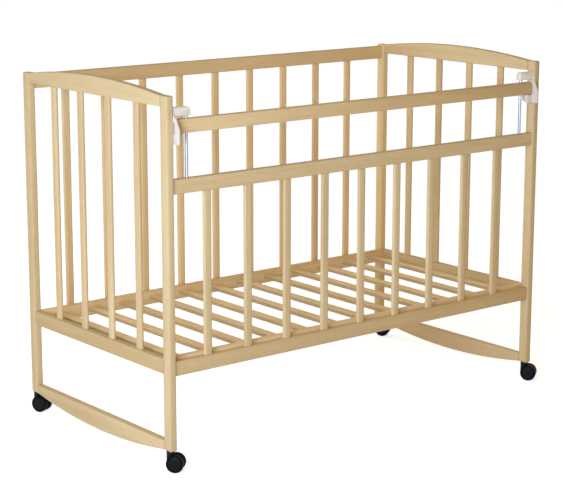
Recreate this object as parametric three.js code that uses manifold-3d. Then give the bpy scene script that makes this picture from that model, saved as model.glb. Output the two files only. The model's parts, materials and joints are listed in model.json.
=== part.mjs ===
import * as THREE from 'three';
import { mergeVertices } from 'three/addons/utils/BufferGeometryUtils.js';
import Module from 'manifold-3d';

const wasm = await Module();
wasm.setup();

// Everything is in millimetres. +Z is up, the floor is z = 0, X runs along the crib,
// and the drop side faces -Y. Every FOOT and TOP is a height above the foot of a post.

// Clearances
const RUN_GAP = 0.3;
const SLIDE_GAP = 0.4;
const LATCH_GAP = 0.4;

// Roundings and how finely they are drawn
const EDGE_STEPS = 3;
const BEVEL_STEPS = 2;
const ARC_STEP_DEG = 15;
const TREAD_STEP_DEG = 30;
const ROUND_FACES = 28;
const SMALL_FACES = 16;
const CUT_OVERSHOOT = 5;

// Overall frame and corner posts
const OUTER_LENGTH = 1256;
const OUTER_WIDTH = 647;
const POST_ALONG = 18.5;
const POST_ACROSS = 28.5;
const POST_HEIGHT = 861;
const POST_ROUND = 2.5;
const POST_END_ROUND = 1.5;

// Casters
const WHEEL_RADIUS = 22;
const WHEEL_WIDE = 13;
const WHEEL_DROP = 30;
const WHEEL_TRAIL = 12.7;
const WHEEL_FACES = 28;
const TREAD_ROUND = 2.6;
const TREAD_INNER_ROUND = 0.8;
const HUBCAP_RADIUS = 17.6;
const HUBCAP_RECESS = 0.7;
const HUBCAP_WALL = 3.5;
const JOURNAL_RADIUS = 3;
const JOURNAL_END_GAP = 0.5;
const WEB_THICK = 8;
const WEB_SIDE_GAP = 0.5;
const WEB_RADIUS = 19;
const WHEEL_CLEARANCE = 0.8;
const HOUSING_RADIUS = 10.5;
const HOUSING_HIGH = 27;
const HOOD_TOP_GAP = 0.5;
const STEM_RADIUS = 4;
const STEM_IN_POST = 32;

// Caster headings as they stand, in degrees from +X to the axle, one per corner
const CASTER_HEADING = { front_left: 40.7, front_right: 35.8, rear_left: 22.8, rear_right: 34 };

// End frames
const END_RAIL_THICK = 18;
const END_RAIL_SETBACK = 0.5;
const END_RAIL_FOOT = 189.5;
const END_RAIL_HIGH = 37.5;
const RAIL_ROUND = 2.2;
const ARCH_EDGE_HIGH = 26.5;
const ARCH_RISE = 19.5;
const ARCH_STEPS = 24;
const ROCKER_TOP = 23;
const ROCKER_SAG = 25.4;
const PLATE_ROUND = 2;

// Slats of the ends and sides
const SLAT_WIDE = 22.5;
const SLAT_THICK = 10;
const SLAT_ROUND = 4;
const SLAT_ROUND_STEPS = 4;
const END_SLAT_COUNT = 4;
const SIDE_SLAT_COUNT = 9;

// Gaps from a post to the first and to the last slat of its row
const END_ROW_GAPS = { first: 98.8, last: 98.8 };
const FRONT_ROW_GAPS = { first: 92.4, last: 119.4 };
const REAR_ROW_GAPS = { first: 89.4, last: 122.4 };

// Side rails
const SIDE_RAIL_THICK = 18;
const SIDE_RAIL_SETBACK = 4;
const LOWER_RAIL_FOOT = 185.5;
const LOWER_RAIL_HIGH = 35.5;
const REAR_TOP_RAIL_DROP = 5;
const REAR_TOP_RAIL_HIGH = 37.5;
const MID_RAIL_HIGH = 35.5;

// Bed base
const BASE_RAIL_THICK = 18;
const BASE_RAIL_FOOT = 192;
const BASE_RAIL_HIGH = 36;
const BASE_SLAT_COUNT = 12;
const BASE_ROW_GAPS = { first: 35.2, last: 35.2 };
const BASE_SLAT_WIDE = 31;
const BASE_SLAT_THICK = 10;
const BASE_SLAT_ROUND = 2.5;
const BASE_SLAT_SINK = 13;
const BASE_SLAT_LET_IN = 6;

// Drop bar and its two guide rods
const BAR_HIGH = 34.5;
const BAR_THICK = 18;
const BAR_ROUND = 3.5;
const BAR_END_GAP = 6.5;
const BAR_ARM_GAP = 6.5;
const BAR_TRAVEL = 107;
const ROD_RADIUS = 4;
const ROD_FROM_POST = 44.5;
const ROD_FORWARD = 1.6;
const ROD_IN_RAIL = 20;
const ROD_IN_ARM = 14;
const ROD_FACES = 20;

// Latch brackets: a plate on the post, with an arm over the bar and a tip that carries the catch
const BRACKET_PLATE = 2.2;
const PLATE_FRONT_SETBACK = 2;
const PLATE_REAR_SETBACK = 24.5;
const PLATE_CORNER_ROUND = 3;
const EAR_RISE = 1.5;
const EAR_FRONT_SETBACK = 13;
const EAR_ROUND = 5;
const TIP_RADIUS = 5.4;
const TIP_NECK_DROP = 8;
const ARM_DROP = 28.5;
const ARM_LONG = 52.5;
const ARM_HIGH = 21.5;
const ARM_THICK = 19;
const ARM_NOSE_ROUND = 9;
const ARM_EDGE_ROUND = 3.5;
const STUB_RADIUS = 2.8;
const STUB_PROUD = 0.7;

// Swinging catches: a head on the pivot, a tongue bent forward, and a block under the bar
const PIVOT_DROP = 5;
const PIVOT_SETBACK = 1;
const CATCH_THICK = 5;
const CATCH_HEAD_RADIUS = 5.2;
const CATCH_HEAD_START_DEG = -30;
const CATCH_NECK_DROP = 11;
const CATCH_FRONT_OUT = 18.5;
const CATCH_BEND_DROP = 27;
const CATCH_BEND_ROUND = 12;
const CATCH_FOOT_ROUND = 3;
const CATCH_EDGE_ROUND = 0.9;
const BLOCK_LONG = 22;
const BLOCK_HIGH = 22.6;
const BLOCK_REAR_OUT = 21.5;
const BLOCK_RAMP_START = 4;
const BLOCK_RAMP_RISE = 6;

// Positions that follow from the sizes above
const POST_FOOT = WHEEL_RADIUS + WHEEL_DROP;
const POST_X = (OUTER_LENGTH - POST_ALONG) / 2;
const POST_Y = (OUTER_WIDTH - POST_ACROSS) / 2;
const INNER_X = OUTER_LENGTH / 2 - POST_ALONG;
const INNER_Y = OUTER_WIDTH / 2 - POST_ACROSS;
const END_RAIL_X = OUTER_LENGTH / 2 - END_RAIL_SETBACK - END_RAIL_THICK / 2;
const SIDE_RAIL_Y = OUTER_WIDTH / 2 - SIDE_RAIL_SETBACK - SIDE_RAIL_THICK / 2;
const BASE_RAIL_Y = SIDE_RAIL_Y - (SIDE_RAIL_THICK + BASE_RAIL_THICK) / 2;
const ARCH_UNDERSIDE = POST_HEIGHT - ARCH_EDGE_HIGH;
const REAR_TOP_RAIL_FOOT = POST_HEIGHT - REAR_TOP_RAIL_DROP - REAR_TOP_RAIL_HIGH;
const ARM_TOP = POST_HEIGHT - ARM_DROP;
const ARM_FOOT = ARM_TOP - ARM_HIGH;
const BAR_FOOT = ARM_FOOT - BAR_ARM_GAP - BAR_HIGH;
const MID_RAIL_TOP = BAR_FOOT - BAR_TRAVEL;
const MID_RAIL_FOOT = MID_RAIL_TOP - MID_RAIL_HIGH;
const ROD_X = INNER_X - ROD_FROM_POST;
const ROD_Y = -SIDE_RAIL_Y - ROD_FORWARD;
const BAR_HALF = INNER_X - BAR_END_GAP;
const PIVOT_Y = -OUTER_WIDTH / 2 + PIVOT_SETBACK;
const PIVOT_TOP = ARM_FOOT - PIVOT_DROP;
const BLOCK_TOP = BAR_FOOT - LATCH_GAP;
const LATCH_FOOT = BLOCK_TOP - BLOCK_HIGH;
const CATCH_X = -INNER_X + BRACKET_PLATE + RUN_GAP;
const CORNERS = [
  { name: 'front_left', x: -POST_X, y: -POST_Y },
  { name: 'front_right', x: POST_X, y: -POST_Y },
  { name: 'rear_left', x: -POST_X, y: POST_Y },
  { name: 'rear_right', x: POST_X, y: POST_Y },
];
const SIDES = [
  { name: 'left', sign: -1 },
  { name: 'right', sign: 1 },
];

// Materials
const WOOD = { color: 0xd4b98a, roughness: 0.5, metalness: 0 };
const CREAM_PLASTIC = { color: 0xeee8da, roughness: 0.42, metalness: 0 };
const BRIGHT_STEEL = { color: 0xdedee4, roughness: 0.25, metalness: 0.9 };
const BLACK_HOOD = { color: 0x17181a, roughness: 0.4, metalness: 0 };
const BLACK_WHEEL = { color: 0x202221, roughness: 0.48, metalness: 0 };

const AXIS_X = new THREE.Vector3(1, 0, 0);
const AXIS_Y = new THREE.Vector3(0, 1, 0);
const AXIS_Z = new THREE.Vector3(0, 0, 1);

function addNode(group, name, geometry, material) {
  const mesh = new THREE.Mesh(geometry, new THREE.MeshStandardMaterial(material));
  mesh.name = name;
  group.add(mesh);
}

// Points of a rounded rectangle about the origin
function roundedRect(wide, high, round, steps) {
  const points = [];
  const corners = [[1, 1], [-1, 1], [-1, -1], [1, -1]];
  corners.forEach(([sx, sy], quarter) => {
    for (let i = 0; i <= steps; i += 1) {
      const angle = (quarter + i / steps) * Math.PI / 2;
      const x = sx * (wide / 2 - round) + round * Math.cos(angle);
      const y = sy * (high / 2 - round) + round * Math.sin(angle);
      points.push(new THREE.Vector2(x, y));
    }
  });
  return points;
}

// A prism of a closed profile that is centred on its own middle plane, edges rounded on request
function prism(points, long, edgeRound = 0) {
  const options = { depth: long, bevelEnabled: false, steps: 1 };
  if (edgeRound > 0) {
    options.depth = long - 2 * edgeRound;
    options.bevelEnabled = true;
    options.bevelSize = edgeRound;
    options.bevelThickness = edgeRound;
    options.bevelOffset = -edgeRound;
    options.bevelSegments = BEVEL_STEPS;
  }
  const geometry = new THREE.ExtrudeGeometry(new THREE.Shape(points), options);
  geometry.translate(0, 0, -options.depth / 2);
  return tidy(geometry);
}

function tidy(geometry) {
  geometry.deleteAttribute('normal');
  geometry.deleteAttribute('uv');
  return mergeVertices(geometry);
}

function turned(geometry, x, y, z) {
  return geometry.applyMatrix4(new THREE.Matrix4().makeBasis(x, y, z));
}

// A straight bar with a rounded section along one axis, its middle at (x, y, z)
function barAlongX(long, thick, high, round, x, y, z) {
  const bar = prism(roundedRect(thick, high, round, EDGE_STEPS), long);
  return turned(bar, AXIS_Y, AXIS_Z, AXIS_X).translate(x, y, z);
}

function barAlongY(long, thick, high, round, x, y, z) {
  const bar = prism(roundedRect(high, thick, round, EDGE_STEPS), long);
  return turned(bar, AXIS_Z, AXIS_X, AXIS_Y).translate(x, y, z);
}

// A slat standing up, wide along X or along Y
function uprightSlat(wideX, wideY, foot, top, x, y) {
  const points = roundedRect(wideX, wideY, SLAT_ROUND, SLAT_ROUND_STEPS);
  return prism(points, top - foot).translate(x, y, (foot + top) / 2);
}

function toSolid(geometry) {
  const triVerts = new Uint32Array(geometry.index.array);
  const vertProperties = new Float32Array(geometry.attributes.position.array);
  return new wasm.Manifold(new wasm.Mesh({ numProp: 3, vertProperties, triVerts }));
}

function fromSolid(solid) {
  const mesh = solid.getMesh();
  const geometry = new THREE.BufferGeometry();
  geometry.setAttribute('position', new THREE.BufferAttribute(mesh.vertProperties, 3));
  geometry.setIndex(new THREE.BufferAttribute(mesh.triVerts, 1));
  return geometry;
}

function join(...geometries) {
  return fromSolid(geometries.map(toSolid).reduce((whole, next) => whole.add(next)));
}

function cut(geometry, ...tools) {
  return fromSolid(tools.map(toSolid).reduce((whole, next) => whole.subtract(next), toSolid(geometry)));
}

function mirroredX(geometry) {
  const copy = geometry.clone().scale(-1, 1, 1);
  const index = copy.index.array;
  for (let i = 0; i < index.length; i += 3) {
    [index[i], index[i + 1]] = [index[i + 1], index[i]];
  }
  return copy;
}

// A cylinder whose axis is the given one, from one coordinate to another along it
function rod(radius, from, to, faces, axis) {
  const cylinder = tidy(new THREE.CylinderGeometry(radius, radius, to - from, faces));
  if (axis === AXIS_X) {
    turned(cylinder, AXIS_Y, AXIS_X, AXIS_Z.clone().negate());
  } else if (axis === AXIS_Z) {
    turned(cylinder, AXIS_X, AXIS_Z, AXIS_Y.clone().negate());
  }
  return cylinder.translate(...axis.clone().multiplyScalar((from + to) / 2).toArray());
}

function box(from, to) {
  const size = to.clone().sub(from);
  const middle = from.clone().add(to).divideScalar(2);
  return tidy(new THREE.BoxGeometry(...size.toArray())).translate(...middle.toArray());
}

// Points of an arc given by its centre and radius, counterclockwise
function arcPoints(arc, fromDeg, toDeg, stepDeg = ARC_STEP_DEG) {
  const count = Math.ceil((toDeg - fromDeg) / stepDeg);
  return Array.from({ length: count + 1 }, (_, i) => {
    const turn = THREE.MathUtils.degToRad(fromDeg + (toDeg - fromDeg) * i / count);
    const outward = new THREE.Vector2(Math.cos(turn), Math.sin(turn));
    return outward.multiplyScalar(arc.radius).add(arc.centre);
  });
}

function arcAt(across, up, radius) {
  return { centre: new THREE.Vector2(across, up), radius };
}

// Direction, from either centre, of the point where a straight edge leaves one arc for the next
function tangentDeg(arc, next) {
  const reach = next.centre.clone().sub(arc.centre);
  const turn = reach.angle() - Math.acos((arc.radius - next.radius) / reach.length());
  return THREE.MathUtils.radToDeg(turn);
}

// Evenly spaced middles of a row of pieces between two faces, at half away from the centre
function row(count, wide, half, gaps) {
  const first = -half + gaps.first + wide / 2;
  const pitch = (2 * half - gaps.first - gaps.last - wide) / (count - 1);
  return Array.from({ length: count }, (_, i) => first + i * pitch);
}

function addPosts(group) {
  for (const corner of CORNERS) {
    const section = roundedRect(POST_ALONG, POST_ACROSS, POST_ROUND, EDGE_STEPS);
    const post = prism(section, POST_HEIGHT, POST_END_ROUND);
    post.translate(corner.x, corner.y, POST_FOOT + POST_HEIGHT / 2);
    const socket = rod(STEM_RADIUS + RUN_GAP, POST_FOOT - CUT_OVERSHOOT,
      POST_FOOT + STEM_IN_POST + RUN_GAP, SMALL_FACES, AXIS_Z);
    socket.translate(corner.x, corner.y, 0);
    addNode(group, `post_${corner.name}`, cut(post, socket), WOOD);
  }
}

// Points along a shallow circular arc across the end frame; rise is positive for a crown
function arcAcross(halfSpan, edgeZ, rise, steps) {
  const radius = (halfSpan * halfSpan + rise * rise) / (2 * Math.abs(rise));
  const centreZ = edgeZ + rise - Math.sign(rise) * radius;
  const points = [];
  for (let i = 0; i <= steps; i += 1) {
    const y = halfSpan * (1 - 2 * i / steps);
    points.push(new THREE.Vector2(y, centreZ + Math.sign(rise) * Math.sqrt(radius * radius - y * y)));
  }
  return points;
}

function endPanelPlate(points, sign) {
  const plate = turned(prism(points, END_RAIL_THICK, PLATE_ROUND), AXIS_Y, AXIS_Z, AXIS_X);
  return plate.translate(sign * END_RAIL_X, 0, POST_FOOT);
}

function archPoints() {
  const top = arcAcross(INNER_Y, POST_HEIGHT, ARCH_RISE, ARCH_STEPS);
  return [...top, new THREE.Vector2(-INNER_Y, ARCH_UNDERSIDE), new THREE.Vector2(INNER_Y, ARCH_UNDERSIDE)];
}

function rockerPoints() {
  const bottom = arcAcross(INNER_Y, 0, -ROCKER_SAG, ARCH_STEPS).reverse();
  return [...bottom, new THREE.Vector2(INNER_Y, ROCKER_TOP), new THREE.Vector2(-INNER_Y, ROCKER_TOP)];
}

function addEnds(group) {
  for (const side of SIDES) {
    const x = side.sign * END_RAIL_X;
    addNode(group, `arch_rail_${side.name}`, endPanelPlate(archPoints(), side.sign), WOOD);
    const railZ = POST_FOOT + END_RAIL_FOOT + END_RAIL_HIGH / 2;
    const rail = barAlongY(2 * INNER_Y, END_RAIL_THICK, END_RAIL_HIGH, RAIL_ROUND, x, 0, railZ);
    addNode(group, `end_lower_rail_${side.name}`, rail, WOOD);
    addNode(group, `rocker_rail_${side.name}`, endPanelPlate(rockerPoints(), side.sign), WOOD);
    const foot = POST_FOOT + END_RAIL_FOOT + END_RAIL_HIGH;
    const top = POST_FOOT + ARCH_UNDERSIDE;
    row(END_SLAT_COUNT, SLAT_WIDE, INNER_Y, END_ROW_GAPS).forEach((y, i) => {
      const slat = uprightSlat(SLAT_THICK, SLAT_WIDE, foot, top, x, y);
      addNode(group, `end_slat_${side.name}_${i + 1}`, slat, WOOD);
    });
  }
}

function sideRail(foot, high, sign) {
  const z = POST_FOOT + foot + high / 2;
  return barAlongX(2 * INNER_X, SIDE_RAIL_THICK, high, RAIL_ROUND, 0, sign * SIDE_RAIL_Y, z);
}

function addSideSlats(group, name, top, gaps, sign) {
  const foot = POST_FOOT + LOWER_RAIL_FOOT + LOWER_RAIL_HIGH;
  row(SIDE_SLAT_COUNT, SLAT_WIDE, INNER_X, gaps).forEach((x, i) => {
    const slat = uprightSlat(SLAT_WIDE, SLAT_THICK, foot, POST_FOOT + top, x, sign * SIDE_RAIL_Y);
    addNode(group, `${name}_${i + 1}`, slat, WOOD);
  });
}

function addRearSide(group) {
  addNode(group, 'rear_top_rail', sideRail(REAR_TOP_RAIL_FOOT, REAR_TOP_RAIL_HIGH, 1), WOOD);
  addNode(group, 'rear_lower_rail', sideRail(LOWER_RAIL_FOOT, LOWER_RAIL_HIGH, 1), WOOD);
  addSideSlats(group, 'rear_slat', REAR_TOP_RAIL_FOOT, REAR_ROW_GAPS, 1);
}

function guideRod(radius, from, to, sign) {
  const round = rod(radius, POST_FOOT + from, POST_FOOT + to, ROD_FACES, AXIS_Z);
  return round.translate(sign * ROD_X, ROD_Y, 0);
}

function addFrontSide(group) {
  const holes = SIDES.map((side) => guideRod(ROD_RADIUS + RUN_GAP,
    MID_RAIL_TOP - ROD_IN_RAIL - RUN_GAP, MID_RAIL_TOP + CUT_OVERSHOOT, side.sign));
  const mid = cut(sideRail(MID_RAIL_FOOT, MID_RAIL_HIGH, -1), ...holes);
  addNode(group, 'front_mid_rail', mid, WOOD);
  addNode(group, 'front_lower_rail', sideRail(LOWER_RAIL_FOOT, LOWER_RAIL_HIGH, -1), WOOD);
  addSideSlats(group, 'front_slat', MID_RAIL_FOOT, FRONT_ROW_GAPS, -1);
}

// The bed base is one glued frame: slats from front to back, let into a rail along each side
function addBase(group) {
  const railZ = POST_FOOT + BASE_RAIL_FOOT + BASE_RAIL_HIGH / 2;
  const rails = [-1, 1].map((sign) => barAlongX(2 * INNER_X, BASE_RAIL_THICK, BASE_RAIL_HIGH, RAIL_ROUND,
    0, sign * BASE_RAIL_Y, railZ));
  const slatZ = POST_FOOT + BASE_RAIL_FOOT + BASE_RAIL_HIGH - BASE_SLAT_SINK - BASE_SLAT_THICK / 2;
  const long = 2 * BASE_RAIL_Y - BASE_RAIL_THICK + 2 * BASE_SLAT_LET_IN;
  const slats = row(BASE_SLAT_COUNT, BASE_SLAT_WIDE, INNER_X, BASE_ROW_GAPS).map(
    (x) => barAlongY(long, BASE_SLAT_WIDE, BASE_SLAT_THICK, BASE_SLAT_ROUND, x, 0, slatZ),
  );
  addNode(group, 'bed_base', join(...rails, ...slats), WOOD);
}

function addDropBar(group) {
  const z = POST_FOOT + BAR_FOOT + BAR_HIGH / 2;
  const section = roundedRect(BAR_THICK, BAR_HIGH, BAR_ROUND, EDGE_STEPS);
  const solid = turned(prism(section, 2 * BAR_HALF, POST_END_ROUND), AXIS_Y, AXIS_Z, AXIS_X);
  solid.translate(0, -SIDE_RAIL_Y, z);
  const holes = SIDES.map((side) => guideRod(ROD_RADIUS + SLIDE_GAP,
    BAR_FOOT - CUT_OVERSHOOT, BAR_FOOT + BAR_HIGH + CUT_OVERSHOOT, side.sign));
  addNode(group, 'drop_bar', cut(solid, ...holes), WOOD);
}

function addGuideRods(group) {
  for (const side of SIDES) {
    const guide = guideRod(ROD_RADIUS, MID_RAIL_TOP - ROD_IN_RAIL, ARM_FOOT + ROD_IN_ARM, side.sign);
    addNode(group, `guide_rod_${side.name}`, guide, BRIGHT_STEEL);
  }
}

// Side outline of the plate, as (y, z above the post foot): a straight back, an ear above the
// arm, and a rounded tip at the post's front face that carries the catch
function platePoints() {
  const face = -OUTER_WIDTH / 2;
  const round = PLATE_CORNER_ROUND;
  const front = face + PLATE_FRONT_SETBACK;
  const rear = face + PLATE_REAR_SETBACK;
  const top = ARM_TOP + EAR_RISE;
  const ear = arcAt(face + EAR_FRONT_SETBACK + EAR_ROUND, top - EAR_ROUND, EAR_ROUND);
  const tip = arcAt(PIVOT_Y, PIVOT_TOP, TIP_RADIUS);
  const slant = tangentDeg(ear, tip);
  return [
    ...arcPoints(arcAt(front + round, LATCH_FOOT + round, round), 180, 270),
    ...arcPoints(arcAt(rear - round, LATCH_FOOT + round, round), 270, 360),
    ...arcPoints(arcAt(rear - round, top - round, round), 0, 90),
    ...arcPoints(ear, 90, slant),
    ...arcPoints(tip, slant, 270),
    new THREE.Vector2(front, PIVOT_TOP - TIP_NECK_DROP),
  ];
}

// Stands a side outline up, at the left post, from one place along X to another
function standing(points, fromX, toX, edgeRound) {
  const plate = turned(prism(points, toX - fromX, edgeRound), AXIS_Y, AXIS_Z, AXIS_X);
  return plate.translate((fromX + toX) / 2, 0, POST_FOOT);
}

// The arm is drawn on into the post and trimmed there, so that only its free end is rounded
function armGeometry() {
  const root = -INNER_X - ARM_NOSE_ROUND;
  const end = -INNER_X + ARM_LONG;
  const points = [
    new THREE.Vector2(root, ARM_FOOT),
    new THREE.Vector2(end, ARM_FOOT),
    ...arcPoints(arcAt(end - ARM_NOSE_ROUND, ARM_TOP - ARM_NOSE_ROUND, ARM_NOSE_ROUND), 0, 90),
    new THREE.Vector2(root, ARM_TOP),
  ];
  const arm = turned(prism(points, ARM_THICK, ARM_EDGE_ROUND), AXIS_X, AXIS_Z, AXIS_Y.clone().negate());
  arm.translate(0, -SIDE_RAIL_Y, POST_FOOT);
  const trim = box(new THREE.Vector3(root - CUT_OVERSHOOT, -OUTER_WIDTH / 2 - CUT_OVERSHOOT, POST_FOOT),
    new THREE.Vector3(-INNER_X, 0, POST_FOOT + POST_HEIGHT));
  return cut(arm, trim);
}

function pivotRod(radius, from, to) {
  return rod(radius, from, to, SMALL_FACES, AXIS_X).translate(0, PIVOT_Y, POST_FOOT + PIVOT_TOP);
}

// The bracket is drawn for the left post, where it grows towards +X from the post's inner face
function leftBracket() {
  const plate = standing(platePoints(), -INNER_X, -INNER_X + BRACKET_PLATE, 0);
  const stub = pivotRod(STUB_RADIUS, -INNER_X + BRACKET_PLATE / 2, CATCH_X + CATCH_THICK + STUB_PROUD);
  const rodHole = guideRod(ROD_RADIUS + RUN_GAP, ARM_FOOT - CUT_OVERSHOOT,
    ARM_FOOT + ROD_IN_ARM + RUN_GAP, -1);
  return cut(join(plate, armGeometry(), stub), rodHole);
}

// Side outline of the block under the bar: its ramp lets a rising bar push the catch aside
function blockPoints() {
  const rear = PIVOT_Y + BLOCK_REAR_OUT;
  return [
    new THREE.Vector2(PIVOT_Y + BLOCK_RAMP_START, LATCH_FOOT),
    new THREE.Vector2(rear, LATCH_FOOT + BLOCK_RAMP_RISE),
    new THREE.Vector2(rear, BLOCK_TOP),
    new THREE.Vector2(PIVOT_Y, BLOCK_TOP),
  ];
}

// Side outline of the whole catch, the block's included
function catchPoints() {
  const front = PIVOT_Y - CATCH_FRONT_OUT;
  const foot = arcAt(front + CATCH_FOOT_ROUND, LATCH_FOOT + CATCH_FOOT_ROUND, CATCH_FOOT_ROUND);
  const head = arcAt(PIVOT_Y, PIVOT_TOP, CATCH_HEAD_RADIUS);
  const bend = arcAt(front + CATCH_BEND_ROUND, PIVOT_TOP - CATCH_BEND_DROP, CATCH_BEND_ROUND);
  const slant = tangentDeg(head, bend);
  return [
    ...arcPoints(foot, 180, 270),
    ...blockPoints(),
    new THREE.Vector2(PIVOT_Y, PIVOT_TOP - CATCH_NECK_DROP),
    ...arcPoints(head, CATCH_HEAD_START_DEG, slant),
    ...arcPoints(bend, slant, 180),
  ];
}

function leftCatch() {
  const tongue = standing(catchPoints(), CATCH_X, CATCH_X + CATCH_THICK, CATCH_EDGE_ROUND);
  const points = [new THREE.Vector2(PIVOT_Y, LATCH_FOOT), ...blockPoints()];
  const block = standing(points, CATCH_X + CATCH_EDGE_ROUND, CATCH_X + BLOCK_LONG, CATCH_EDGE_ROUND);
  const hole = pivotRod(STUB_RADIUS + RUN_GAP, CATCH_X - CUT_OVERSHOOT,
    CATCH_X + CATCH_THICK + CUT_OVERSHOOT);
  return cut(join(tongue, block), hole);
}

function addLatches(group) {
  addNode(group, 'latch_bracket_left', leftBracket(), CREAM_PLASTIC);
  addNode(group, 'latch_bracket_right', mirroredX(leftBracket()), CREAM_PLASTIC);
  addNode(group, 'latch_catch_left', leftCatch(), CREAM_PLASTIC);
  addNode(group, 'latch_catch_right', mirroredX(leftCatch()), CREAM_PLASTIC);
}

// A caster is drawn about its own stem at the origin, axle along X, wheels trailing towards -Y
function hoodGeometry() {
  const top = POST_FOOT - HOOD_TOP_GAP;
  const housing = rod(HOUSING_RADIUS, top - HOUSING_HIGH, top, ROUND_FACES, AXIS_Z);
  const web = rod(WEB_RADIUS, -WEB_THICK / 2, WEB_THICK / 2, ROUND_FACES, AXIS_X);
  web.translate(0, -WHEEL_TRAIL, WHEEL_RADIUS);
  const inner = WEB_THICK / 2 + WEB_SIDE_GAP;
  const clearances = SIDES.map((side) => {
    const ends = [side.sign * WEB_THICK / 2, side.sign * (inner + WHEEL_WIDE)].sort((a, b) => a - b);
    const ring = rod(WHEEL_RADIUS + WHEEL_CLEARANCE, ends[0], ends[1], ROUND_FACES, AXIS_X);
    return ring.translate(0, -WHEEL_TRAIL, WHEEL_RADIUS);
  });
  const reach = inner + WHEEL_WIDE - HUBCAP_RECESS - HUBCAP_WALL - JOURNAL_END_GAP;
  const journal = rod(JOURNAL_RADIUS, -reach, reach, SMALL_FACES, AXIS_X);
  journal.translate(0, -WHEEL_TRAIL, WHEEL_RADIUS);
  const stem = rod(STEM_RADIUS, top - HOUSING_HIGH / 2, POST_FOOT + STEM_IN_POST, SMALL_FACES, AXIS_Z);
  return join(cut(join(housing, web), ...clearances), journal, stem);
}

// Half section of the right-hand wheel as (radius, distance from the caster's middle plane)
function wheelProfile() {
  const inner = WEB_THICK / 2 + WEB_SIDE_GAP;
  const outer = inner + WHEEL_WIDE;
  const tread = arcAt(WHEEL_RADIUS - TREAD_ROUND, outer - TREAD_ROUND, TREAD_ROUND);
  return [
    new THREE.Vector2(0, outer - HUBCAP_RECESS - HUBCAP_WALL),
    new THREE.Vector2(JOURNAL_RADIUS + RUN_GAP, outer - HUBCAP_RECESS - HUBCAP_WALL),
    new THREE.Vector2(JOURNAL_RADIUS + RUN_GAP, inner),
    new THREE.Vector2(WHEEL_RADIUS - TREAD_INNER_ROUND, inner),
    new THREE.Vector2(WHEEL_RADIUS, inner + TREAD_INNER_ROUND),
    ...arcPoints(tread, 0, 90, TREAD_STEP_DEG),
    new THREE.Vector2(HUBCAP_RADIUS + HUBCAP_RECESS, outer),
    new THREE.Vector2(HUBCAP_RADIUS, outer - HUBCAP_RECESS),
    new THREE.Vector2(0, outer - HUBCAP_RECESS),
  ];
}

function wheelGeometry() {
  const wheel = tidy(new THREE.LatheGeometry(wheelProfile(), WHEEL_FACES));
  turned(wheel, AXIS_Y, AXIS_X, AXIS_Z.clone().negate());
  return wheel.translate(0, -WHEEL_TRAIL, WHEEL_RADIUS);
}

function placedCaster(geometry, corner) {
  const heading = THREE.MathUtils.degToRad(CASTER_HEADING[corner.name]);
  return geometry.rotateZ(heading).translate(corner.x, corner.y, 0);
}

function addCasters(group) {
  for (const corner of CORNERS) {
    addNode(group, `caster_hood_${corner.name}`, placedCaster(hoodGeometry(), corner), BLACK_HOOD);
    const wheels = [wheelGeometry(), mirroredX(wheelGeometry())];
    wheels.forEach((wheel, i) => {
      const name = `caster_wheel_${corner.name}_${i + 1}`;
      addNode(group, name, placedCaster(wheel, corner), BLACK_WHEEL);
    });
  }
}

// The origin lies on the floor under the middle of the whole crib, casters included
function centred(crib) {
  const bounds = new THREE.Box3().setFromObject(crib);
  const middle = bounds.getCenter(new THREE.Vector3());
  crib.position.set(-middle.x, -middle.y, -bounds.min.z);
  return crib;
}

function buildCrib() {
  const crib = new THREE.Group();
  crib.name = 'crib';
  addPosts(crib);
  addEnds(crib);
  addRearSide(crib);
  addFrontSide(crib);
  addBase(crib);
  addDropBar(crib);
  addGuideRods(crib);
  addLatches(crib);
  addCasters(crib);
  return centred(crib);
}

export default buildCrib();
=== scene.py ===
import json
import math
import random

import bmesh
import bpy
from mathutils import Matrix, Vector


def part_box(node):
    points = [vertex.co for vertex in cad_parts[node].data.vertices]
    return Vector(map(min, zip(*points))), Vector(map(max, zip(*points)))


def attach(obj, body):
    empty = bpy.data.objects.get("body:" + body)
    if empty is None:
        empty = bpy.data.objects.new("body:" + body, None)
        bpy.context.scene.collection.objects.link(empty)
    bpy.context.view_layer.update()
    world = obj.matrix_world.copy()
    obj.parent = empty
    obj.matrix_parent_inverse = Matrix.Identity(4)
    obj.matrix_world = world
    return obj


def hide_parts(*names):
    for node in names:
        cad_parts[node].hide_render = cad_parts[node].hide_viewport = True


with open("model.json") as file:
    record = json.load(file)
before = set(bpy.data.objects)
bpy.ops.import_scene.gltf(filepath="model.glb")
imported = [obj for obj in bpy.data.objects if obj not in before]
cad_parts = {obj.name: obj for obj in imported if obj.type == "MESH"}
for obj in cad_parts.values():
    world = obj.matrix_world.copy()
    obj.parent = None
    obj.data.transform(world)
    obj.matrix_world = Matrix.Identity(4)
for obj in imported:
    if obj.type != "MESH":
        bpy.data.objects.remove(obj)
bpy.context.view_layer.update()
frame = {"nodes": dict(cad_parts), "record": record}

# Everything is in metres. The frame's origin lies under the middle of crib and casters together,
# so the crib's own middle, which the camera was solved about, is taken from two opposite posts.
left_low, left_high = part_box("post_front_left")
right_low, right_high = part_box("post_rear_right")
MIDDLE = Vector(((left_low.x + right_high.x) / 2, (left_low.y + right_high.y) / 2, 0))
POST_FOOT = left_low.z

# Bed base
BASE_RAIL_THICK = 0.018
BASE_RAIL_ROUND = 0.0022
BASE_SLAT_COUNT = 12
BASE_SLAT_WIDE = 0.031
BASE_SLAT_THICK = 0.010
BASE_SLAT_ROUND = 0.0025
BASE_SLAT_SINK = 0.013
BASE_SLAT_LET_IN = 0.006
BASE_END_GAP = 0.0352
BASE_EDGE_STEPS = 4

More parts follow.
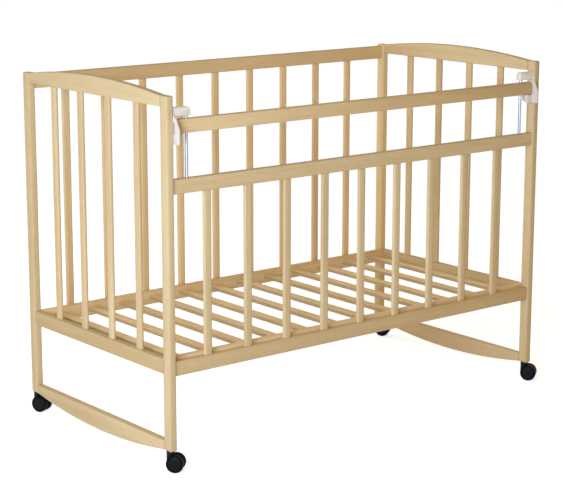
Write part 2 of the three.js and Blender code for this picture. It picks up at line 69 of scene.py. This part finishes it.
# Caster wheels, as distances from the axle and from the wheel's own middle plane
WHEEL_RADIUS = 0.022
WHEEL_HALF = 0.0065
TREAD_ROUND = 0.0028
BORE_RADIUS = 0.0033
BORE_END = 0.0023
RIM_INNER = 0.0182
CAP_GAP = 0.0003
CAP_SEAT = 0.0026
CAP_SINK = 0.0002
CAP_FALL = 0.0021
CAP_SLOPE = 0.0065
WHEEL_STEPS = 72

# The wheel's back has a small round of its own, and its rim stands a little back from the front
BACK_ROUND = 0.001
RIM_BACK = 0.0002
TREAD_STEPS = 8
BACK_STEPS = 4
CAP_STEPS = 10

ROD_STEPS = 48
ROD_CHAMFER = 0.0004
SMOOTH_ANGLE = math.radians(38)
WELD_DISTANCE = 1e-6

# Waxed birch, and per-piece tints: partly the lighter or darker boards the pieces were cut from,
# partly painted light and shade that brightens or darkens a piece to make up for how the lamps
# light it
WOOD_TONE = Vector((0.690, 0.487, 0.238))
WOOD_DARK = Vector((0.605, 0.405, 0.184))
WOOD_LIGHT = Vector((0.748, 0.548, 0.290))
BOARD_AND_LIGHT_TINTS = (
    ("base_slat_", (1.33, 1.37, 1.42)),
    ("base_rail_", (1.16, 1.14, 1.12)),
    ("rear_slat_", (1.2, 1.18, 1.16)),
    ("rear_top_rail", (1.1, 1.07, 1.02)),
    ("drop_bar", (1.05, 1.03, 1.0)),
    ("front_slat_", (1.03, 1.05, 1.08)),
    ("post_rear_right", (1.2, 1.2, 1.2)),
    ("end_lower_rail_", (0.89, 0.86, 0.8)),
    ("front_lower_rail", (0.94, 0.9, 0.87)),
)
PLAIN_BOARD = (1, 1, 1)

# Each piece of wood differs a little in shade and warmth, and shows another part of the grain
SHADE_RANGE = (0.965, 1.035)
WARM_RANGE = (-0.012, 0.012)
GRAIN_RANGE = (0, 40)

# Noise cells per metre, along the grain and twice across it
FIGURE_CELLS = (1.3, 26, 26)
FIBRE_CELLS = (11, 520, 520)
FLECK_CELLS = (70, 1100, 1100)
CLOUD_CELLS = (3.0, 11, 11)
FIBRE_DARK = (0.90, 0.885, 0.86)
CLOUD_DARK = (0.965, 0.955, 0.94)
PALE = (1.02, 1.02, 1.02)
FIBRE_SHARE = 0.8
FLECK_SHARE = 0.42
END_GRAIN_SHARE = 0.5
TOP_SHADE_SHARE = 0.6

# How dark flecks and end grain, edges darkened by wear and painted shade, the painted shade on the
# sides of the base slats and the painted shade on tops are, against WOOD_DARK
FLECK_TONE = 0.8
WORN_AND_SHADED_TONE = 0.66
SIDE_SHADE_TONE = 0.62
TOP_SHADE_TONE = 0.7

# Pieces whose tops get painted shade
TOP_SHADED_PIECES = ("arch_rail_", "rear_top_rail", "drop_bar", "front_mid_rail", "post_")

# Radii over which the shading softens an edge, and over which wear and painted shade darken its
# colour
WOOD_EDGE = 0.0014
WOOD_WORN_AND_SHADED_EDGE = 0.0032
STEEL_EDGE = 0.0003
BEVEL_SAMPLES = 4

# The cosine between the rounded normal and the true one where an edge's colour changes most: wear,
# and on the wood and the cream plastic painted shade
EDGE_TURN = 0.86

# Roughness of wax, and how deep its grain, the pores of plastic and the drawing lines of steel go
WOOD_ROUGH = (0.4, 0.54)
WOOD_SPECULAR = 0.1
GRAIN_DEPTH = 0.0004
PLASTIC_CELLS = (60, 60, 60)
PLASTIC_ROUGH_STEP = 0.06
PLASTIC_EDGE_WEAR_AND_SHADE = 0.5
PORE_DEPTH = 0.0002
STEEL_LINES = (500, 500, 5)
STEEL_CLOUDS = (20, 20, 20)
STEEL_DARK = (0.36, 0.36, 0.375)
STEEL_PALE = (0.44, 0.44, 0.455)
STEEL_TINT = (0.2, 0.2, 0.22)
STEEL_ROUGH = (0.24, 0.32)
LINE_DEPTH = 0.0001

# Photograph, and the camera solved from it: sizes in pixels, angles in radians
PHOTO_WIDE = 563
PHOTO_HIGH = 494
FOCAL = 1698.278
CENTRE = (283.098, 235.898)
CAMERA_PLACE = Vector((-2.86688, -3.51732, 1.3536))
CAMERA_YAW = 0.6804
CAMERA_PITCH = 0.2077
CAMERA_ROLL = 0.0015
SENSOR = 36.0

# The floor, and its own brightness near the crib, where the shadow lies, and far from it
FLOOR_REACH = 60.0
FLOOR_CELLS = (3, 3, 3)
FLOOR_DARK = (0.83, 0.83, 0.83)
FLOOR_PALE = (0.85, 0.85, 0.85)
GLOW_NEAR = (0.62, 0.65, 0.68)
GLOW_FAR = (0.72, 0.79, 0.90)
GLOW_START = 1.0
GLOW_END = 4.5

# The studio has warm walls, a large soft box on the left, two smaller ones behind, which stay out
# of gloss, and a weak one overhead. Each lamp: name, place, aim, size, watts, colour, and for the
# two behind the angle of the beam.
ROOM = (0.37, 0.285, 0.145)
BACKDROP = (1.0, 1.0, 1.0)
CRIB_AIM = (0, 0, 0.45)
LAMPS = (
    ("left", (-3.4, -2.15, 1.3), CRIB_AIM, (2.0, 1.6), 186, (0.538, 0.695, 1.0), None),
    ("rear", (-0.4, 4.6, 1.2), CRIB_AIM, (1.4, 1.2), 14, (0.84, 0.93, 1.0), math.radians(70)),
    ("back", (3.4, 3.3, 1.4), CRIB_AIM, (1.2, 1.0), 4, (0.84, 0.93, 1.0), math.radians(70)),
    ("top", (0.0, 0.0, 3.4), (0, 0, 0), (2.4, 1.8), 6, (0.7, 0.9, 1.0), None),
)


def add(tree, kind, **values):
    node = tree.nodes.new(kind)
    for key, value in values.items():
        setattr(node, key, value)
    return node


def link(tree, a, b):
    tree.links.new(a, b)


def plug(tree, socket, value):
    if isinstance(value, bpy.types.NodeSocket):
        link(tree, value, socket)
    elif isinstance(value, tuple) and len(value) == 3 and socket.type == "RGBA":
        socket.default_value = (*value, 1)
    else:
        socket.default_value = value


def new_material(name):
    material = bpy.data.materials.new(name)
    material.use_nodes = True
    tree = material.node_tree
    tree.nodes.clear()
    output = add(tree, "ShaderNodeOutputMaterial")
    shader = add(tree, "ShaderNodeBsdfPrincipled")
    link(tree, shader.outputs["BSDF"], output.inputs["Surface"])
    return material, tree, shader


def noise(tree, coords, stretch, offset, detail=3.0, rough=0.5, distortion=0.0):
    mapping = add(tree, "ShaderNodeMapping")
    plug(tree, mapping.inputs["Vector"], coords)
    plug(tree, mapping.inputs["Scale"], stretch)
    plug(tree, mapping.inputs["Location"], offset)
    texture = add(tree, "ShaderNodeTexNoise")
    plug(tree, texture.inputs["Vector"], mapping.outputs["Vector"])
    plug(tree, texture.inputs["Scale"], 1.0)
    plug(tree, texture.inputs["Detail"], detail)
    plug(tree, texture.inputs["Roughness"], rough)
    plug(tree, texture.inputs["Distortion"], distortion)
    return texture.outputs["Fac"]


def ramp(tree, value, stops):
    node = add(tree, "ShaderNodeValToRGB")
    elements = node.color_ramp.elements
    while len(elements) < len(stops):
        elements.new(0.5)
    for element, (place, color) in zip(elements, stops):
        element.position = place
        element.color = (*color, 1)
    plug(tree, node.inputs["Fac"], value)
    return node.outputs["Color"]


def spread(tree, value, low, high, to_low, to_high):
    node = add(tree, "ShaderNodeMapRange")
    for key, number in (("Value", value), ("From Min", low), ("From Max", high),
                        ("To Min", to_low), ("To Max", to_high)):
        plug(tree, node.inputs[key], number)
    return node.outputs["Result"]


def mix(tree, factor, a, b, blend="MIX"):
    node = add(tree, "ShaderNodeMix", data_type="RGBA", blend_type=blend)
    plug(tree, node.inputs["Factor"], factor)
    plug(tree, node.inputs[6], a)
    plug(tree, node.inputs[7], b)
    return node.outputs[2]


def maths(tree, operation, a, b=0.0):
    node = add(tree, "ShaderNodeMath", operation=operation)
    plug(tree, node.inputs[0], a)
    plug(tree, node.inputs[1], b)
    return node.outputs[0]


# One for the rays that see the white background: the camera's, and those in gloss and glass
def background_rays(tree):
    path = add(tree, "ShaderNodeLightPath")
    seen = maths(tree, "MAXIMUM", path.outputs["Is Camera Ray"], path.outputs["Is Glossy Ray"])
    return maths(tree, "MAXIMUM", seen, path.outputs["Is Transmission Ray"])


def bump(tree, height, strength, distance, normal):
    node = add(tree, "ShaderNodeBump")
    plug(tree, node.inputs["Strength"], strength)
    plug(tree, node.inputs["Distance"], distance)
    plug(tree, node.inputs["Height"], height)
    plug(tree, node.inputs["Normal"], normal)
    return node.outputs["Normal"]


def rounded_normal(tree, radius):
    node = add(tree, "ShaderNodeBevel", samples=BEVEL_SAMPLES)
    plug(tree, node.inputs["Radius"], radius)
    return node.outputs["Normal"]


# How near a place is to an edge: the rounded normal turns away from the true one there
def edge_mask(tree, rounded):
    true = add(tree, "ShaderNodeNewGeometry").outputs["Normal"]
    dot = add(tree, "ShaderNodeVectorMath", operation="DOT_PRODUCT")
    plug(tree, dot.inputs[0], rounded)
    plug(tree, dot.inputs[1], true)
    return spread(tree, dot.outputs["Value"], 1.0, EDGE_TURN, 0.0, 1.0)


def normal_axes(tree):
    axes = add(tree, "ShaderNodeSeparateXYZ")
    plug(tree, axes.inputs[0], add(tree, "ShaderNodeTexCoord").outputs["Normal"])
    return axes.outputs


# The sides of a slat of the base, darkened against its top with painted shade
def side_shade_mask(tree):
    return spread(tree, maths(tree, "ABSOLUTE", normal_axes(tree)["X"]), 0.3, 0.8, 0.0, 1.0)


# The tops of posts and upper rails, darkened with painted shade
def top_shade_mask(tree):
    return spread(tree, normal_axes(tree)["Z"], 0.4, 0.9, 0.0, TOP_SHADE_SHARE)


# Coordinates with the grain first, and how squarely a face looks along the grain
def grain_axes(tree, along):
    coords = add(tree, "ShaderNodeTexCoord")
    axes = add(tree, "ShaderNodeSeparateXYZ")
    plug(tree, axes.inputs[0], coords.outputs["Object"])
    order = {"X": (0, 1, 2), "Y": (1, 0, 2), "Z": (2, 0, 1)}[along]
    grain = add(tree, "ShaderNodeCombineXYZ")
    for place, axis in enumerate(order):
        plug(tree, grain.inputs[place], axes.outputs[axis])
    facing = add(tree, "ShaderNodeSeparateXYZ")
    plug(tree, facing.inputs[0], coords.outputs["Normal"])
    return grain.outputs[0], maths(tree, "ABSOLUTE", facing.outputs[order[0]])


# A piece's tint: its entry in the table of board tints, partly board tone and partly painted light
# and shade, with the piece's own shade and warmth
def board_and_light_tint(name, rng):
    shade = rng.uniform(*SHADE_RANGE)
    warm = rng.uniform(*WARM_RANGE)
    board = next((color for start, color in BOARD_AND_LIGHT_TINTS if name.startswith(start)), PLAIN_BOARD)
    return Vector(board) * Vector((shade * (1 + warm), shade, shade * (1 - 2 * warm)))


def wood(name, along):
    rng = random.Random(name)
    tint = board_and_light_tint(name, rng)
    offset = (rng.uniform(*GRAIN_RANGE), rng.uniform(*GRAIN_RANGE), rng.uniform(*GRAIN_RANGE))

    def tone(color):
        return tuple(color * tint)

    material, tree, shader = new_material("wood_" + name)
    grain, end_grain = grain_axes(tree, along)
    figure = noise(tree, grain, FIGURE_CELLS, offset, detail=3.0, rough=0.5, distortion=0.8)
    fibre = noise(tree, grain, FIBRE_CELLS, offset, detail=3.0, rough=0.6)
    fleck = noise(tree, grain, FLECK_CELLS, offset, detail=1.0, rough=0.5)
    cloud = noise(tree, grain, CLOUD_CELLS, offset, detail=2.0, rough=0.5)
    stops = [(0.2, tone(WOOD_DARK)), (0.5, tone(WOOD_TONE)), (0.82, tone(WOOD_LIGHT))]
    color = ramp(tree, figure, stops)
    fibre_color = ramp(tree, fibre, [(0.3, FIBRE_DARK), (0.65, PALE)])
    color = mix(tree, FIBRE_SHARE, color, fibre_color, "MULTIPLY")
    flecks = spread(tree, fleck, 0.62, 0.74, 0.0, FLECK_SHARE)
    color = mix(tree, flecks, color, tone(WOOD_DARK * FLECK_TONE))
    cloud_color = ramp(tree, cloud, [(0.3, CLOUD_DARK), (0.7, PALE)])
    color = mix(tree, 1.0, color, cloud_color, "MULTIPLY")
    ends = spread(tree, end_grain, 0.8, 0.95, 0.0, END_GRAIN_SHARE)
    color = mix(tree, ends, color, tone(WOOD_DARK * FLECK_TONE))
    rounded = rounded_normal(tree, WOOD_EDGE)
    edge = edge_mask(tree, rounded_normal(tree, WOOD_WORN_AND_SHADED_EDGE))
    # Darker edges: partly wear, partly painted shade along the rounded edges
    worn_and_shaded = maths(tree, "MULTIPLY", edge, spread(tree, cloud, 0.35, 0.65, 0.45, 0.85))
    color = mix(tree, worn_and_shaded, color, tone(WOOD_DARK * WORN_AND_SHADED_TONE))
    # Painted shade on the sides of the base slats
    if name.startswith("base_slat_"):
        color = mix(tree, side_shade_mask(tree), color, tone(WOOD_DARK * SIDE_SHADE_TONE))
    # Painted shade on the tops of posts and upper rails
    if name.startswith(TOP_SHADED_PIECES):
        color = mix(tree, top_shade_mask(tree), color, tone(WOOD_DARK * TOP_SHADE_TONE))
    plug(tree, shader.inputs["Base Color"], color)
    plug(tree, shader.inputs["Roughness"], spread(tree, cloud, 0.25, 0.75, *WOOD_ROUGH))
    fine = maths(tree, "MULTIPLY", fibre, 0.6)
    height = maths(tree, "ADD", fine, maths(tree, "MULTIPLY", figure, 0.4))
    plug(tree, shader.inputs["Normal"], bump(tree, height, 0.2, GRAIN_DEPTH, rounded))
    plug(tree, shader.inputs["Specular IOR Level"], WOOD_SPECULAR)
    return material


def plastic(name, color, rough, mottled, pores, edge_radius, specular, edge_color):
    material, tree, shader = new_material(name)
    coords = add(tree, "ShaderNodeTexCoord").outputs["Object"]
    cloud = noise(tree, coords, PLASTIC_CELLS, (3.1, 7.7, 1.3), detail=3.0, rough=0.55)
    fine = noise(tree, coords, (pores, pores, pores), (9.1, 2.7, 5.3), detail=2.0, rough=0.6)
    dark = tuple(c * (1 - mottled) for c in color)
    light = tuple(min(1.0, c * (1 + mottled)) for c in color)
    rounded = rounded_normal(tree, edge_radius)
    base = ramp(tree, cloud, [(0.3, dark), (0.7, light)])
    # Edges are mixed towards edge_color: painted shade on the cream plastics, a slightly lighter
    # edge on the black ones
    worn_and_shaded = maths(tree, "MULTIPLY", edge_mask(tree, rounded), PLASTIC_EDGE_WEAR_AND_SHADE)
    plug(tree, shader.inputs["Base Color"], mix(tree, worn_and_shaded, base, edge_color))
    smoothest, roughest = rough - PLASTIC_ROUGH_STEP, rough + PLASTIC_ROUGH_STEP
    plug(tree, shader.inputs["Roughness"], spread(tree, fine, 0.3, 0.7, smoothest, roughest))
    plug(tree, shader.inputs["Normal"], bump(tree, fine, 0.12, PORE_DEPTH, rounded))
    plug(tree, shader.inputs["Specular IOR Level"], specular)
    return material


def steel(name):
    material, tree, shader = new_material(name)
    coords = add(tree, "ShaderNodeTexCoord").outputs["Object"]
    drawn = noise(tree, coords, STEEL_LINES, (1, 2, 3), detail=2.0, rough=0.5)
    smear = noise(tree, coords, STEEL_CLOUDS, (4, 4, 4), detail=2.0, rough=0.5)
    tint = ramp(tree, smear, [(0.3, STEEL_DARK), (0.7, STEEL_PALE)])
    plug(tree, shader.inputs["Base Color"], tint)
    plug(tree, shader.inputs["Roughness"], spread(tree, drawn, 0.3, 0.7, *STEEL_ROUGH))
    rounded = rounded_normal(tree, STEEL_EDGE)
    plug(tree, shader.inputs["Normal"], bump(tree, drawn, 0.02, LINE_DEPTH, rounded))
    plug(tree, shader.inputs["Metallic"], 1.0)
    plug(tree, shader.inputs["Specular Tint"], STEEL_TINT)
    return material


# Smooth shading over the rounded edges, sharp where two faces meet at a real corner
def smooth_group():
    tree = bpy.data.node_groups.new("smooth_by_angle", "GeometryNodeTree")
    tree.interface.new_socket("Geometry", in_out="INPUT", socket_type="NodeSocketGeometry")
    tree.interface.new_socket("Geometry", in_out="OUTPUT", socket_type="NodeSocketGeometry")
    given = add(tree, "NodeGroupInput")
    result = add(tree, "NodeGroupOutput")
    weld = add(tree, "GeometryNodeMergeByDistance")
    plug(tree, weld.inputs["Distance"], WELD_DISTANCE)
    faces = add(tree, "GeometryNodeSetShadeSmooth", domain="FACE")
    plug(tree, faces.inputs["Shade Smooth"], True)
    angle = add(tree, "GeometryNodeInputMeshEdgeAngle")
    sharp = add(tree, "FunctionNodeCompare", data_type="FLOAT", operation="GREATER_THAN")
    plug(tree, sharp.inputs["B"], SMOOTH_ANGLE)
    edges = add(tree, "GeometryNodeSetShadeSmooth", domain="EDGE")
    plug(tree, edges.inputs["Shade Smooth"], False)
    plug(tree, weld.inputs["Geometry"], given.outputs[0])
    plug(tree, faces.inputs["Geometry"], weld.outputs["Geometry"])
    plug(tree, edges.inputs["Geometry"], faces.outputs["Geometry"])
    plug(tree, sharp.inputs["A"], angle.outputs["Unsigned Angle"])
    plug(tree, edges.inputs["Selection"], sharp.outputs["Result"])
    plug(tree, result.inputs[0], edges.outputs["Geometry"])
    return tree


def smooth(obj):
    modifier = obj.modifiers.new("smooth", "NODES")
    modifier.node_group = SMOOTH


def paint(obj, material):
    if not obj.material_slots:
        obj.data.materials.append(material)
    for place in obj.material_slots:
        place.material = material


def new_piece(name, shape, material, slot, body, *replaced):
    mesh = bpy.data.meshes.new(name)
    shape.to_mesh(mesh)
    shape.free()
    piece = bpy.data.objects.new(name, mesh)
    bpy.context.scene.collection.objects.link(piece)
    mesh.materials.append(material)
    smooth(piece)
    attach(piece, body)
    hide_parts(*replaced)


def grain_of(node):
    if node.startswith(("post_", "end_slat_", "rear_slat_", "front_slat_")):
        return "Z"
    if node.startswith(("arch_rail", "end_lower_rail", "rocker_rail")):
        return "Y"
    return "X"


def dress_cad():
    for node, obj in frame["nodes"].items():
        if node.startswith("latch_catch"):
            material = SHADED_CATCH
        elif node.startswith("latch_"):
            material = CREAM
        elif node.startswith("guide_rod_"):
            material = BRIGHT
        elif node.startswith("caster_hood_"):
            material = HOOD
        elif node.startswith("caster_wheel_"):
            material = WHEEL
        else:
            material = wood(node, grain_of(node))
        paint(obj, material)
        smooth(obj)


# The base as its real pieces: two rails, and slats with rounded edges let into them
def rounded_bar(name, size, centre, edge, along):
    shape = bmesh.new()
    bmesh.ops.create_cube(shape, size=1.0)
    bmesh.ops.scale(shape, vec=Vector(size), verts=shape.verts)
    bmesh.ops.bevel(shape, geom=list(shape.edges), offset=edge, segments=BASE_EDGE_STEPS,
                    profile=0.5, affect="EDGES", clamp_overlap=True)
    bmesh.ops.translate(shape, vec=Vector(centre), verts=shape.verts)
    new_piece(name, shape, wood(name, along), "wood", "crib_frame", "bed_base")


def build_base():
    low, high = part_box("bed_base")
    centre = (low + high) / 2
    rail_size = (high.x - low.x, BASE_RAIL_THICK, high.z - low.z)
    for name, y in (("front", low.y + BASE_RAIL_THICK / 2), ("rear", high.y - BASE_RAIL_THICK / 2)):
        rounded_bar("base_rail_" + name, rail_size, (centre.x, y, centre.z), BASE_RAIL_ROUND, "X")
    slat_z = high.z - BASE_SLAT_SINK - BASE_SLAT_THICK / 2
    long = high.y - low.y - 2 * BASE_RAIL_THICK + 2 * BASE_SLAT_LET_IN
    first = low.x + BASE_END_GAP + BASE_SLAT_WIDE / 2
    pitch = (centre.x - first) * 2 / (BASE_SLAT_COUNT - 1)
    for i in range(BASE_SLAT_COUNT):
        place = (first + i * pitch, centre.y, slat_z)
        rounded_bar("base_slat_%d" % (i + 1), (BASE_SLAT_WIDE, long, BASE_SLAT_THICK), place,
                    BASE_SLAT_ROUND, "Y")


# A closed profile of (distance from the axis, place along it) spun about an axis through a point
def spun(profile, steps, centre, axis):
    shape = bmesh.new()
    turn = axis.to_track_quat("Z", "X").to_matrix()
    rings = []
    for i in range(steps):
        angle = 2 * math.pi * i / steps
        out = Vector((math.cos(angle), math.sin(angle), 0))
        places = [centre + turn @ (out * r + Vector((0, 0, z))) for r, z in profile]
        rings.append([shape.verts.new(place) for place in places])
    for i, ring in enumerate(rings):
        after = rings[(i + 1) % steps]
        for j in range(len(profile) - 1):
            shape.faces.new((ring[j], after[j], after[j + 1], ring[j + 1]))
    shape.faces.new([ring[0] for ring in reversed(rings)])
    shape.faces.new([ring[-1] for ring in rings])
    bmesh.ops.recalc_face_normals(shape, faces=shape.faces)
    return shape


# Points of an elliptical arc, from one angle to another in degrees
def arc(centre_r, centre_z, wide, high, start, end, steps):
    points = []
    for i in range(steps + 1):
        angle = math.radians(start + (end - start) * i / steps)
        points.append((centre_r + wide * math.cos(angle), centre_z + high * math.sin(angle)))
    return points


# From the closed end of the bore, out over the tread and the rim, down to the seat of the cap
def wheel_profile():
    face = WHEEL_HALF
    return [
        (BORE_RADIUS, BORE_END),
        (BORE_RADIUS, -face),
        *arc(WHEEL_RADIUS - BACK_ROUND, BACK_ROUND - face, BACK_ROUND, BACK_ROUND,
             -90, 0, BACK_STEPS),
        *arc(WHEEL_RADIUS - TREAD_ROUND, face - TREAD_ROUND, TREAD_ROUND, TREAD_ROUND,
             0, 90, TREAD_STEPS),
        (RIM_INNER, face - RIM_BACK),
        (RIM_INNER, face - CAP_SEAT),
        (RIM_INNER / 3, face - CAP_SEAT),
    ]


# The cap fills the rim's recess but for a fine gap, and its crown falls away towards the edge
def cap_profile():
    face = WHEEL_HALF
    edge = RIM_INNER - CAP_GAP
    return [
        (RIM_INNER / 3, face - CAP_SEAT),
        (edge, face - CAP_SEAT),
        *arc(edge - CAP_SLOPE, face - CAP_SINK - CAP_FALL, CAP_SLOPE, CAP_FALL,
             0, 90, CAP_STEPS),
        (RIM_INNER / 3, face - CAP_SINK),
    ]


def build_wheels():
    joints = {joint["child"]: joint for joint in frame["record"]["behaviour"]["joints"]}
    for body in [name for name in joints if name.startswith("wheel_")]:
        centre = Vector(joints[body]["pos_m"])
        axis = Vector(joints[body]["axis"])
        outward = axis if body.endswith("_1") else -axis
        tyre = spun(wheel_profile(), WHEEL_STEPS, centre, outward)
        new_piece(body + "_round", tyre, WHEEL, "black_wheel", body, "caster_" + body)
        cap = spun(cap_profile(), WHEEL_STEPS, centre, outward)
        new_piece(body + "_cap", cap, CAP, "black_wheel", body, "caster_" + body)


def build_rods():
    for side in ("left", "right"):
        low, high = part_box("guide_rod_" + side)
        centre = (low + high) / 2
        radius = (high.x - low.x) / 2
        half = (high.z - low.z) / 2
        profile = [(radius - ROD_CHAMFER, -half), (radius, -half + ROD_CHAMFER),
                   (radius, half - ROD_CHAMFER), (radius - ROD_CHAMFER, half)]
        shape = spun(profile, ROD_STEPS, centre, Vector((0, 0, 1)))
        new_piece("round_rod_" + side, shape, BRIGHT, "bright_steel", "crib_frame",
                  "guide_rod_" + side)


def build_floor():
    mesh = bpy.data.meshes.new("floor")
    far = FLOOR_REACH
    corners = [(-far, -far, 0), (far, -far, 0), (far, far, 0), (-far, far, 0)]
    mesh.from_pydata(corners, [], [(0, 1, 2, 3)])
    floor = bpy.data.objects.new("floor", mesh)
    bpy.context.scene.collection.objects.link(floor)
    material, tree, shader = new_material("floor")
    coords = add(tree, "ShaderNodeTexCoord").outputs["Object"]
    speck = noise(tree, coords, FLOOR_CELLS, (0, 0, 0), detail=2.0, rough=0.5)
    tint = ramp(tree, speck, [(0.3, FLOOR_DARK), (0.7, FLOOR_PALE)])
    plug(tree, shader.inputs["Base Color"], tint)
    plug(tree, shader.inputs["Roughness"], 0.9)
    plug(tree, shader.inputs["Specular IOR Level"], 0.0)
    distance = add(tree, "ShaderNodeVectorMath", operation="LENGTH")
    plug(tree, distance.inputs[0], coords)
    away = spread(tree, distance.outputs["Value"], GLOW_START, GLOW_END, 0.0, 1.0)
    glow = add(tree, "ShaderNodeEmission")
    plug(tree, glow.inputs["Color"], mix(tree, away, GLOW_NEAR, GLOW_FAR))
    plug(tree, glow.inputs["Strength"], background_rays(tree))
    both = add(tree, "ShaderNodeAddShader")
    link(tree, shader.outputs[0], both.inputs[0])
    link(tree, glow.outputs[0], both.inputs[1])
    output = next(n for n in tree.nodes if n.type == "OUTPUT_MATERIAL")
    link(tree, both.outputs[0], output.inputs["Surface"])
    mesh.materials.append(material)


def build_world():
    world = bpy.data.worlds.new("studio")
    bpy.context.scene.world = world
    world.use_nodes = True
    tree = world.node_tree
    tree.nodes.clear()
    room = add(tree, "ShaderNodeBackground")
    plug(tree, room.inputs["Color"], ROOM)
    seen = add(tree, "ShaderNodeBackground")
    plug(tree, seen.inputs["Color"], BACKDROP)
    choose = add(tree, "ShaderNodeMixShader")
    link(tree, background_rays(tree), choose.inputs[0])
    link(tree, room.outputs[0], choose.inputs[1])
    link(tree, seen.outputs[0], choose.inputs[2])
    output = add(tree, "ShaderNodeOutputWorld")
    link(tree, choose.outputs[0], output.inputs["Surface"])


def area_light(name, place, aim, size, power, color):
    data = bpy.data.lights.new(name, "AREA")
    data.shape = "RECTANGLE"
    data.size, data.size_y = size
    data.energy = power
    data.color = color
    light = bpy.data.objects.new(name, data)
    bpy.context.scene.collection.objects.link(light)
    light.location = Vector(place)
    light.rotation_euler = (Vector(aim) - Vector(place)).to_track_quat("-Z", "Y").to_euler()
    light.visible_camera = False
    return light


def build_lights():
    for name, place, aim, size, power, color, beam in LAMPS:
        light = area_light(name, place, aim, size, power, color)
        if beam:
            light.visible_glossy = False
            light.data.spread = beam


def build_camera():
    data = bpy.data.cameras.new("camera")
    data.sensor_width = SENSOR
    data.lens = FOCAL / PHOTO_WIDE * SENSOR
    data.shift_x = (PHOTO_WIDE / 2 - CENTRE[0]) / PHOTO_WIDE
    data.shift_y = (CENTRE[1] - PHOTO_HIGH / 2) / PHOTO_WIDE
    camera = bpy.data.objects.new("camera", data)
    bpy.context.scene.collection.objects.link(camera)
    level = math.cos(CAMERA_PITCH)
    ahead = Vector((math.sin(CAMERA_YAW) * level, math.cos(CAMERA_YAW) * level,
                    -math.sin(CAMERA_PITCH)))
    side = Vector((math.cos(CAMERA_YAW), -math.sin(CAMERA_YAW), 0))
    over = side.cross(ahead)
    right = math.cos(CAMERA_ROLL) * side + math.sin(CAMERA_ROLL) * over
    up = math.cos(CAMERA_ROLL) * over - math.sin(CAMERA_ROLL) * side
    turn = Matrix((right, up, -ahead)).transposed().to_4x4()
    place = MIDDLE + CAMERA_PLACE + Vector((0, 0, POST_FOOT))
    camera.matrix_world = Matrix.Translation(place) @ turn
    bpy.context.scene.camera = camera


SMOOTH = smooth_group()
# The cream plastics' darker edge_color is painted shade along their rounded edges
CREAM = plastic("cream_bracket", (0.85, 0.745, 0.59), rough=0.42, mottled=0.015, pores=900,
                edge_radius=0.0008, specular=0.35, edge_color=(0.56, 0.51, 0.45))
# The catch is a darker copy of the bracket's cream: painted shade that tones down the strong light
# on it
SHADED_CATCH = plastic("cream_catch_shaded", (0.72, 0.61, 0.5), rough=0.42, mottled=0.015, pores=900,
                edge_radius=0.0008, specular=0.35, edge_color=(0.62, 0.56, 0.50))
HOOD = plastic("black_hood", (0.0035, 0.0035, 0.004), rough=0.4, mottled=0.12, pores=700,
               edge_radius=0.0006, specular=0.15, edge_color=(0.009, 0.009, 0.009))
WHEEL = plastic("black_wheel", (0.002, 0.002, 0.002), rough=0.5, mottled=0.15, pores=500,
                edge_radius=0.0006, specular=0.06, edge_color=(0.003, 0.003, 0.003))
CAP = plastic("black_cap", (0.0045, 0.0042, 0.004), rough=0.38, mottled=0.12, pores=600,
              edge_radius=0.0005, specular=0.09, edge_color=(0.005, 0.005, 0.005))
BRIGHT = steel("bright_steel")

bpy.context.scene.view_settings.view_transform = "Standard"
dress_cad()
build_base()
build_wheels()
build_rods()
build_floor()
build_world()
build_lights()
build_camera()
